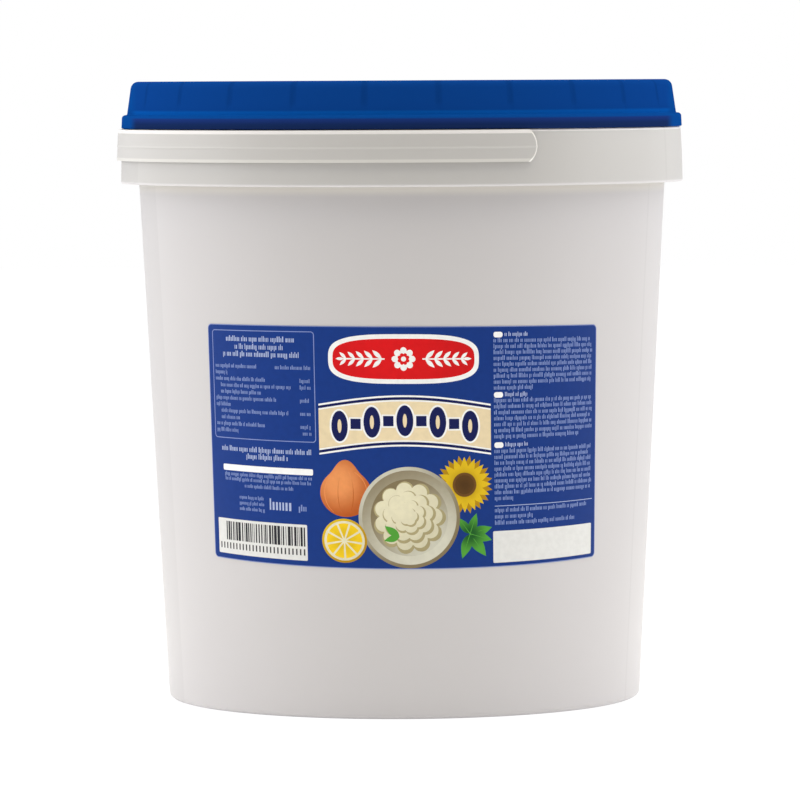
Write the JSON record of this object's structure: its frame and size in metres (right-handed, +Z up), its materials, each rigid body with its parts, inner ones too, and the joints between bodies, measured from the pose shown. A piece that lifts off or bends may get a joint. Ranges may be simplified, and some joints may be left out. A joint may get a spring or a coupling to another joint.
{
  "type": "mayonnaise bucket",
  "caption": "Round tapered plastic bucket of mayonnaise, shut: skirted collar, press-on lid, thin strap handle lying round the collar, and a printed label on the front.",
  "frame": {"origin": "centre of the plane that the foot stands on, on the tub's axis", "axes": "+Z up along the tub's axis; -Y out through the middle of the label, +X to the right as one looks at the label"},
  "size_m": [0.2582, 0.2582, 0.2814],
  "materials": {
    "tub_plastic": "white moulded polypropylene, satin",
    "lid_plastic": "deep blue moulded polypropylene, satin gloss",
    "label_film": null,
    "handle_plastic": "white moulded polypropylene strap, satin"
  },
  "bodies": {
    "bucket": {"tub": "tub_plastic", "lid": "lid_plastic", "label": "label_film"},
    "handle": {"handle": "handle_plastic"}
  },
  "joints": [
    {"name": "handle_swing", "type": "hinge", "parent": "bucket", "child": "handle", "pos_m": [0, 0, 0.2527], "axis": [-0.3963, 0.9181, 0], "range_deg": [0, 180]}
  ]
}
